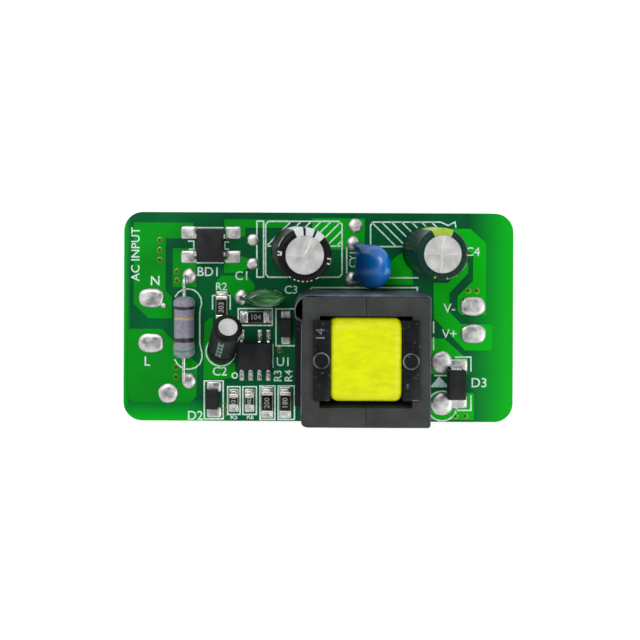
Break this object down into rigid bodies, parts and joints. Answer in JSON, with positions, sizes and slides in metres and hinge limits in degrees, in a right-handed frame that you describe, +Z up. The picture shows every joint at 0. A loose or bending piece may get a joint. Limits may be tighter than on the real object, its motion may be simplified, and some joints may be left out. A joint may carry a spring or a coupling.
{
  "type": "open frame power supply",
  "caption": "Open frame mains power supply board: transformer, can capacitors and small parts soldered on a green board with wire lands at both ends.",
  "frame": {"origin": "on the ground under the middle of the board, which stands on its trimmed lead ends", "axes": "+X along the board from the mains end to the output end, +Y across it towards the two large can capacitors, +Z up from the board's lower side to its parts"},
  "size_m": [0.056, 0.03, 0.0156],
  "materials": {
    "solder_mask": "glossy green mask over laminate and copper, white legend print",
    "solder": "bright, uneven tin solder",
    "tinned_lead": "dull tinned wire and strip",
    "ferrite": "matte sintered ferrite",
    "bobbin_plastic": "moulded phenolic",
    "winding_copper": null,
    "tape_yellow": "thin polyester tape",
    "tape_clear": "glossy bluish-grey tape over the core",
    "can_metal": "drawn aluminium",
    "sleeve_black": "shrink sleeve with pale print",
    "sleeve_green": "shrink sleeve with a yellow-green stripe",
    "rubber": "moulded seal",
    "package_black": "moulded epoxy, fine grain",
    "resistor_coat": "grey-lavender coat with painted bands",
    "coat_blue": "glossy blue dip",
    "coat_green": "glossy green dip",
    "chip_glaze": "ceramic block with a black glazed top",
    "chip_plating": "tinned end plating"
  },
  "bodies": {
    "root": {"bias_capacitor_can": "can_metal", "bias_capacitor_leads": "tinned_lead", "bias_capacitor_seal": "rubber", "bias_capacitor_sleeve": "sleeve_black", "bias_diode_body": "package_black", "bias_diode_tabs": "tinned_lead", "bobbin": "bobbin_plastic", "bridge_body": "package_black", "bridge_leads": "tinned_lead", "chip_caps": "chip_plating", "chip_resistor_1": "chip_glaze", "chip_resistor_2": "chip_glaze", "chip_resistor_3": "chip_glaze", "chip_resistor_4": "chip_glaze", "chip_resistor_5": "chip_glaze", "chip_resistor_6": "chip_glaze", "circuit_board": "solder_mask", "controller_body": "package_black", "controller_pins": "tinned_lead", "core_half_left": "ferrite", "core_half_right": "ferrite", "core_tape": "tape_clear", "disc_capacitor_body": "coat_blue", "disc_capacitor_leads": "tinned_lead", "film_capacitor_body": "coat_green", "film_capacitor_leads": "tinned_lead", "input_capacitor_can": "can_metal", "input_capacitor_leads": "tinned_lead", "input_capacitor_seal": "rubber", "input_capacitor_sleeve": "sleeve_black", "lower_solder": "solder", "output_capacitor_can": "can_metal", "output_capacitor_leads": "tinned_lead", "output_capacitor_seal": "rubber", "output_capacitor_sleeve": "sleeve_green", "rectifier_body": "package_black", "rectifier_leads": "tinned_lead", "resistor_body": "resistor_coat", "resistor_leads": "tinned_lead", "snubber_diode_body": "package_black", "snubber_diode_tabs": "tinned_lead", "transformer_pins": "tinned_lead", "upper_solder": "solder", "winding": "winding_copper", "winding_tape": "tape_yellow", "wire_lands": "solder"}
  },
  "joints": []
}
